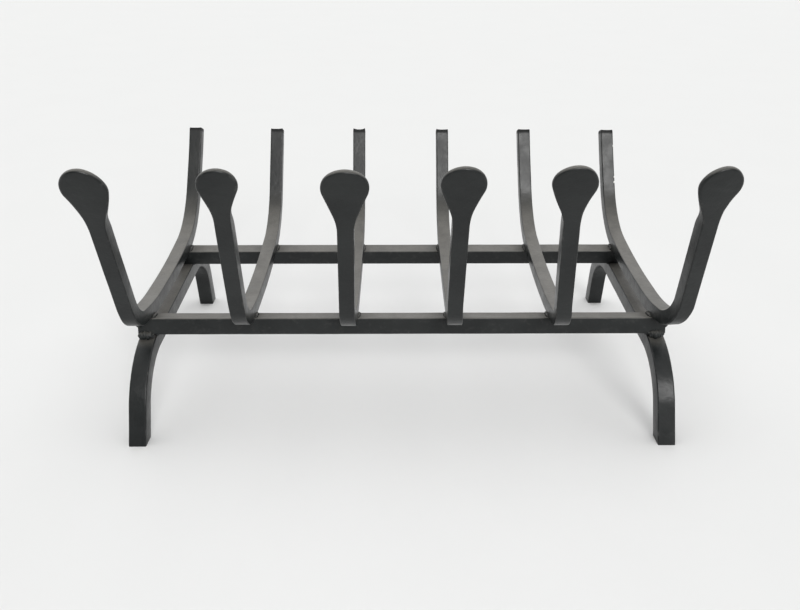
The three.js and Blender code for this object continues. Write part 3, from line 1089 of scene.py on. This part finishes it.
    def build(self) -> bpy.types.Mesh:
        """Makes the whole bar.

        Returns:
            The bar's mesh.
        """
        front, foot, length = self.front()
        x0 = self.layout.log_bar_x(self.index)
        contact = self.layout.bed[0]
        bend_up = foot.height_of(contact)
        full_inset = self.layout.log_bar - self.head_thickness
        for below_tip in self.arm_heights(length):
            up = length - below_tip
            flat_end = self.head_flat_length
            taper = 1 - smooth(flat_end, flat_end + self.head_taper_length, below_tip)
            turned = 1 - smooth(self.head_radius, self.tilt_reach * self.head_radius, below_tip)
            tilt = math.radians(self.hand.head_tilt) * turned
            x = x0 + self.sideways(up, bend_up, length)
            self.add_row(foot.ahead(-up), x, self.head_half_width(below_tip), full_inset * taper, below_tip,
                         tilt, math.radians(self.hand.twist))
        for at in front:
            up = foot.height_of(at)
            share = smooth(bend_up, 0.0, up)
            x = x0 + self.sideways(up, bend_up, length)
            self.add_row(at, x, twist=math.radians(self.hand.twist) * share)
        for at in self.layout.bed:
            self.add_row(at, x0)
        rear = self.rear()
        for at in rear:
            x = x0 + self.hand.post_drift * smooth(rear[0].z, rear[-1].z, at.z)
            self.add_row(at, x)
            near_end = 1 - smooth(0.3, 1.0, (rear[-1].z - at.z) / self.torn_reach)
            self.cut[-1] = [near_end] * len(self.cut[-1])
        self.add_sheared_end(at, x)
        rows = np.array(self.rows) + np.array(ORIGIN)
        marks = {"worn_edge": np.array(self.worn), "torn_end": np.array(self.cut)}
        return skin(f"log_bar_{self.index + 1}_mesh", rows * MM, marks)

    def dress(self) -> None:
        """Builds the bar and puts it in its node's place."""
        number = self.index + 1
        self.finish(f"forged_log_bar_{number}", self.build(), self.paint, f"log_bar_{number}", "bar_paint")


@dataclass
class FrameBars(Piece):
    """The two crossbars and the two leg bars, all of the heavier square bar."""

    paint: bpy.types.Material
    leg_paint: bpy.types.Material
    layout: Layout = LAYOUT
    corner_radius: float = 1.7
    unevenness: float = 0.5
    lump_size: float = 45.0
    leg_bend_radius: float = 82.0
    leg_splay: float = 17.5
    overrun_front: float = 3.0
    overrun_rear: float = 24.0
    crossbar_points: int = 230
    tree: BarTree = field(default_factory=BarTree)

    def section(self) -> bpy.types.Object:
        """A closed outline of the bar's section, as the sweep's helper object."""
        points, wear = SquareSection().outline(self.layout.frame_bar, self.corner_radius)
        edges = [(i, (i + 1) % len(points)) for i in range(len(points))]
        mesh = bpy.data.meshes.new("frame_bar_section")
        mesh.from_pydata([(x * MM, y * MM, 0.0) for x, y in points], edges, [])
        mesh.attributes.new("worn_edge", "FLOAT", "POINT").data.foreach_set("value", wear)
        return new_object("frame_bar_section", mesh)

    def sweep(self, name: str, line: list[tuple[float, float, float]], tilt: float, seed: float,
              section: bpy.types.Object) -> bpy.types.Mesh:
        """Sweeps the section along a line of layout points.

        Args:
            name: The mesh's name.
            line: The middle line's points in mm.
            tilt: Turn of the section about the line, in radians.
            seed: Picks the unevenness.
            section: The outline's object.

        Returns:
            The bar's mesh.
        """
        mesh = bpy.data.meshes.new(name + "_line")
        edges = [(i, i + 1) for i in range(len(line) - 1)]
        mesh.from_pydata([place(*point) for point in line], edges, [])
        result = self.tree.run(name, mesh, {
            "Section": section,
            "Tilt": tilt,
            "Unevenness": self.unevenness * MM,
            "Lump Size": self.lump_size * MM,
            "Seed": seed,
            "Material": self.paint,
        })
        outward(result)
        return result

    def crossbar_line(self, seat: Station) -> list[tuple[float, float, float]]:
        """The middle line of a crossbar, from left to right."""
        y, z = seat.beside(-self.layout.frame_bar / 2)
        half = self.layout.width / 2
        return [(x, y, z) for x in np.linspace(-half, half, self.crossbar_points).tolist()]

    def leg_stations(self) -> list[Station]:
        """The middle line of a leg bar, from the front foot to the rear one."""
        seats = (self.layout.front_seat, self.layout.rear_seat)
        half = self.layout.frame_bar / 2
        front_edge, rear_edge = (
            seat.ahead(side * half).beside(-2 * half) for seat, side in zip(seats, (1, -1))
        )
        slope = math.atan2(rear_edge[1] - front_edge[1], rear_edge[0] - front_edge[0])
        under = half + self.layout.joint_gap
        front_top = Station(*front_edge, slope).lifted(-under)
        rear_top = Station(*rear_edge, slope).lifted(-under)
        front = self.leg_down(front_top.ahead(-self.overrun_front), -1)
        rear = self.leg_down(rear_top.ahead(self.overrun_rear), 1)
        run = rear[0].y - front[0].y
        level = straight(front[0], run / math.cos(slope), self.layout.path_step)
        return [*front[::-1], *level[:-1], *rear]

    def leg_down(self, start: Station, side: int) -> list[Station]:
        """The bend and the straight of one leg, running on below the hearth to be cut there."""
        step = self.layout.path_step
        down = bend(start, self.leg_bend_radius, -side * (90.0 - self.leg_splay), -1, step)
        below = self.layout.frame_bar
        length = (down[-1].z + below) / math.cos(math.radians(self.leg_splay))
        return [start, *down, *straight(down[-1], side * length, step)]

    def cut_at_hearth(self, mesh: bpy.types.Mesh) -> None:
        """Cuts the feet flat at the hearth, closes them and shades the soles flat."""
        work = bmesh.new()
        work.from_mesh(mesh)
        cut = bmesh.ops.bisect_plane(
            work, geom=[*work.verts, *work.edges, *work.faces], plane_no=(0, 0, 1), clear_inner=True
        )
        rim = [item for item in cut["geom_cut"] if isinstance(item, bmesh.types.BMEdge)]
        soles = bmesh.ops.holes_fill(work, edges=rim, sides=0)["faces"]
        for sole in soles:
            sole.smooth = False
        for edge in rim:
            edge.smooth = False
        work.to_mesh(mesh)
        work.free()
        outward(mesh)

    def dress(self) -> None:
        """Builds the four bars and puts them in their nodes' places."""
        section = self.section()
        for seed, (name, seat) in enumerate((("front_crossbar", self.layout.front_seat),
                                             ("rear_crossbar", self.layout.rear_seat))):
            mesh = self.sweep(name + "_mesh", self.crossbar_line(seat), seat.slope, 1.5 + seed, section)
            self.finish("square_" + name, mesh, self.paint, name, "bar_paint")
        for side in Side:
            x = side.value * self.layout.leg_x
            line = [(x, at.y, at.z) for at in self.leg_stations()]
            name = side.label + "_leg_bar"
            mesh = self.sweep(name + "_mesh", line, 0.0, 4.5 + side.value, section)
            self.cut_at_hearth(mesh)
            self.finish("arched_" + name, mesh, self.leg_paint, name, "bar_paint")
        bpy.data.objects.remove(section)


@dataclass(frozen=True)
class Bead:
    """How a weld bead is laid, and where its line lies from the corner that it fills, in mm.

    Args:
        radius: Radius of a puddle.
        pitch: Distance from one puddle to the next.
        length: Length of the line.
        straying: How far a puddle strays from it.
        out: How far out from the corner the line lies.
        up: How far above it.
        forward: How far in front of it.
    """

    radius: float
    pitch: float
    length: float
    straying: float
    out: float
    up: float
    forward: float = 0.0


@dataclass
class WeldBeads(Piece):
    """Every weld bead on the grate."""

    paint: bpy.types.Material
    layout: Layout = LAYOUT
    fillet: Bead = Bead(radius=2.7, pitch=1.7, length=18.0, straying=0.28, out=0.4, up=0.3)
    seam: Bead = Bead(radius=4.6, pitch=2.2, length=17.0, straying=0.5, out=-2.4, up=0.0)
    lump: Bead = Bead(radius=7.2, pitch=3.0, length=13.0, straying=1.7, out=-1.6, up=-9.0, forward=4.5)
    leg_fillet: Bead = Bead(radius=2.7, pitch=1.7, length=18.0, straying=0.28, out=1.1, up=-0.9)
    wedge: Bead = Bead(radius=5.4, pitch=2.5, length=19.0, straying=1.3, out=-0.6, up=-0.2)
    voxel: float = 0.5
    tree: BeadTree = field(default_factory=BeadTree)
    laid: int = 0

    def lay(self, node: str, bead: Bead, corner: Vector, out: Vector, seat: Station, line: Vector) -> None:
        """Lays one bead and puts it in its node's place.

        Args:
            node: The CAD node that it stands for.
            bead: How it is laid.
            corner: The middle of the corner that it fills, a layout point in mm.
            out: The direction out of the joint.
            seat: The crossbar's seat, for the directions up and forward.
            line: The direction of the bead's line.
        """
        self.laid += 1
        middle = corner + out * bead.out + seat.above * bead.up - seat.along * bead.forward
        ends = [middle - line * bead.length / 2, middle + line * bead.length / 2]
        mesh = bpy.data.meshes.new(node + "_line")
        mesh.from_pydata([place(*end) for end in ends], [(0, 1)], [])
        result = self.tree.run(node + "_mesh", mesh, {
            "Puddle Radius": bead.radius * MM,
            "Puddle Pitch": bead.pitch * MM,
            "Unevenness": bead.straying * MM,
            "Seed": self.laid,
            "Material": self.paint,
        }, fuse=self.voxel)
        self.finish("bead_" + node, result, self.paint, node, "weld_paint")

    def at_log_bars(self, where: Crossing) -> None:
        """Beads on both sides of each log bar where it crosses one crossbar."""
        seat = self.layout.seat(where)
        for index in range(self.layout.log_bar_count):
            for side in Side:
                x = self.layout.log_bar_x(index) + side.value * self.layout.log_bar / 2
                flush = abs(x) > self.layout.width / 2 - 1.0
                bead = self.fillet
                if flush:
                    bead = self.lump if where is Crossing.FRONT else self.seam
                node = f"weld_log_bar_{index + 1}_{where.value}_{side.label}"
                corner = Vector((x, seat.y, seat.z))
                self.lay(node, bead, corner, side.value * RIGHTWARD, seat, seat.along)

    def at_legs(self, where: Crossing) -> None:
        """Beads where each leg bar carries one crossbar."""
        seat = self.layout.seat(where)
        away = -seat.along if where is Crossing.FRONT else seat.along
        base = Vector((0.0, seat.y, seat.z)) - seat.above * self.layout.frame_bar
        for side in Side:
            node = f"weld_{side.label}_leg_{where.value}"
            rightward = side.value * RIGHTWARD
            inner = base + rightward * (self.layout.width / 2 - self.layout.frame_bar)
            self.lay(node + "_inner", self.leg_fillet, inner, -rightward, seat, seat.along)
            outer = base + rightward * self.layout.leg_x + away * self.layout.frame_bar / 2
            self.lay(node + "_outer", self.wedge, outer, away, seat, RIGHTWARD)

    def dress(self) -> None:
        """Lays every bead."""
        for where in Crossing:
            self.at_log_bars(where)
            self.at_legs(where)


# ------------------------------------------------------------------ studio


@dataclass(frozen=True)
class Lamp:
    """A large soft lamp, so far off that it lights the floor evenly.

    Args:
        name: Its name.
        azimuth: Where it stands, in degrees to the right of straight in front.
        elevation: How high it stands, in degrees.
        width: How wide it looks from the grate, in degrees.
        strength: Its light on a square metre that faces it, in watts.
        colour: The colour of its light.
    """

    name: str
    azimuth: float
    elevation: float
    width: float
    strength: float
    colour: Colour = (1.0, 1.0, 1.0)

    def build(self) -> None:
        """Adds the lamp to the scene."""
        light = bpy.data.lights.new(self.name, "SUN")
        light.angle = math.radians(self.width)
        light.energy = self.strength
        light.color = self.colour
        lamp = bpy.data.objects.new(self.name, light)
        bpy.context.scene.collection.objects.link(lamp)
        across, up = math.radians(self.azimuth), math.radians(self.elevation)
        towards = Vector((math.sin(across) * math.cos(up), -math.cos(across) * math.cos(up), math.sin(up)))
        lamp.location = towards * 3.0
        lamp.rotation_euler = (-towards).to_track_quat("-Z", "Y").to_euler()


@dataclass(frozen=True)
class Studio:
    """Floor, backdrop light, lamps and camera.

    Args:
        floor_size: Side of the floor in metres.
        front_sky: Brightness of the room in front of the grate.
        back_sky: Brightness of the room behind it.
        back_span: Where one gives way to the other, from -1 in front to 1 behind.
        top_sky: Brightness that the ceiling adds.
        top_span: Where it starts and where it is full, from 0 level to 1 overhead.
        seen_sky: Brightness of the room where the camera sees it, beyond the floor.
        focal_px: Focal length in pixels of a picture `picture_width` wide.
        pitch: Downward tilt of the camera in degrees.
        yaw: Turn of the camera to the right in degrees.
        roll: Clockwise roll of the camera in degrees.
        eye: The camera's place in mm.
        shift_y: Vertical shift of the lens as a share of the width.
    """

    floor_size: float = 14.0
    front_sky: float = 0.1
    back_sky: float = 0.98
    back_span: tuple[float, float] = (-0.7, 0.35)
    top_sky: float = 0.62
    top_span: tuple[float, float] = (0.15, 0.75)
    seen_sky: float = 0.9
    focal_px: float = 855.4
    picture_width: int = 800
    pitch: float = 17.66
    yaw: float = 0.244
    roll: float = 0.022
    eye: tuple[float, float, float] = (-5.0, -1107.6, 637.0)
    shift_y: float = -0.15
    lamps: tuple[Lamp, ...] = (
        Lamp("window", azimuth=12.0, elevation=28.0, width=24.0, strength=1.8, colour=(1.0, 0.995, 0.985)),
    )

    def build(self) -> None:
        """Builds the floor, the sky, the lamps and the camera."""
        self.build_floor()
        self.build_sky()
        for lamp in self.lamps:
            lamp.build()
        self.build_camera()
        bpy.context.scene.view_settings.view_transform = "Standard"

    def build_floor(self) -> None:
        """A wide flat floor at the hearth's level."""
        half = self.floor_size / 2
        mesh = bpy.data.meshes.new("floor")
        corners = [(-half, -half, 0), (half, -half, 0), (half, half, 0), (-half, half, 0)]
        mesh.from_pydata(corners, [], [(0, 1, 2, 3)])
        mesh.materials.append(PaleFloor().build())
        new_object("floor", mesh)

    def build_sky(self) -> None:
        """A pale room all round: dimmer in front of the grate, plain to the camera."""
        world = bpy.data.worlds.new("room")
        world.use_nodes = True
        bpy.context.scene.world = world
        graph = Graph(world.node_tree)
        direction = graph.add("ShaderNodeTexCoord").outputs["Generated"]
        parts = graph.add("ShaderNodeSeparateXYZ", {0: direction})
        behind = graph.span(parts.outputs["Y"], *self.back_span, self.front_sky, self.back_sky)
        above = graph.span(parts.outputs["Z"], *self.top_span, 0.0, self.top_sky)
        to_camera = graph.add("ShaderNodeLightPath").outputs["Is Camera Ray"]
        shares = {0: to_camera, 2: graph.math("ADD", behind, above), 3: self.seen_sky}
        seen = graph.add("ShaderNodeMix", shares, data_type="FLOAT")
        graph.feed(world.node_tree.nodes["Background"], {"Strength": seen, "Color": (1.0, 1.0, 1.0)})

    def build_camera(self) -> None:
        """The camera in front of the grate, looking down at it."""
        lens = bpy.data.cameras.new("camera")
        lens.sensor_width = 36.0
        lens.lens = self.focal_px / self.picture_width * lens.sensor_width
        lens.shift_y = self.shift_y
        lens.clip_start = 0.01
        camera = bpy.data.objects.new("camera", lens)
        bpy.context.scene.collection.objects.link(camera)
        camera.location = Vector(self.eye) * MM
        turn = Euler((math.radians(90.0 - self.pitch), 0.0, -math.radians(self.yaw)), "XYZ").to_quaternion()
        turn = turn @ Euler((0.0, 0.0, -math.radians(self.roll)), "XYZ").to_quaternion()
        camera.rotation_mode = "QUATERNION"
        camera.rotation_quaternion = turn
        bpy.context.scene.camera = camera


# ------------------------------------------------------------------ assembly

HAND_BENDS = (
    HandBend(sidestep=-5.0, drift=-11.0, rise=-3.0, reach=-4.0, bend_radius=29.0, head_tilt=-6.0,
             head_flat=0.3, flat_towards=55.0, post_drift=4.0, post_rise=1.5, shear_lip=0.5),
    HandBend(sidestep=-2.0, drift=0.0, rise=-2.5, reach=-3.0, head_radius=22.8, head_tilt=2.0,
             head_flat=0.12, flat_towards=-20.0, post_drift=1.0, post_rise=-0.5),
    HandBend(sidestep=-1.0, drift=5.0, rise=-1.5, reach=2.0, head_flat=0.2, post_rise=-1.5, shear_lip=2.8),
    HandBend(sidestep=-2.5, drift=-1.0, rise=1.0, reach=0.0, head_radius=25.2, head_tilt=3.0,
             head_flat=0.14, flat_towards=-15.0, post_rise=-2.0, shear_lip=1.8),
    HandBend(sidestep=-3.0, drift=-17.0, rise=3.0, reach=1.0, head_radius=25.4, head_tilt=6.0,
             head_flat=0.3, flat_towards=-30.0, post_drift=-2.0, post_rise=-2.0),
    HandBend(sidestep=13.5, drift=8.5, rise=-1.0, reach=-4.0, bend_radius=29.0, twist=5.0,
             head_radius=25.0, head_tilt=8.0, head_flat=0.35, flat_towards=-50.0, post_drift=-2.0,
             post_rise=-3.0),
)

POST_CHIPS = (
    Chip(x=342.0, y=309.6, z=280.1, radius=2.0),
    Chip(x=342.0, y=290.1, z=234.1, radius=1.6),
    Chip(x=342.0, y=286.9, z=226.7, radius=1.8),
)


def main() -> None:
    """Builds and dresses the grate, then the studio."""
    logging.basicConfig(level=logging.INFO, format="%(name)s %(message)s")
    bar_paint = BlackPaint("bar_paint").build()
    bead_paint = BlackPaint(
        "bead_paint", gloss=(0.4, 0.55), pit_depth=0.16, dust_cover=0.3, wear=0.0
    ).build()
    chipped_paint = BlackPaint("chipped_bar_paint", chips=POST_CHIPS).build()
    for index, hand in enumerate(HAND_BENDS):
        last = index == len(HAND_BENDS) - 1
        LogBar(index, hand, chipped_paint if last else bar_paint).dress()
    # The leg bars' copy holds the ash film and its painted sheen to nearly level faces, so their upper bends
    # stay dark like faces in shade.
    leg_paint = BlackPaint("leg_paint", dust_slopes=(0.9, 0.995)).build()
    FrameBars(bar_paint, leg_paint).dress()
    WeldBeads(bead_paint).dress()
    Studio().build()


if __name__ == "__main__":
    main()
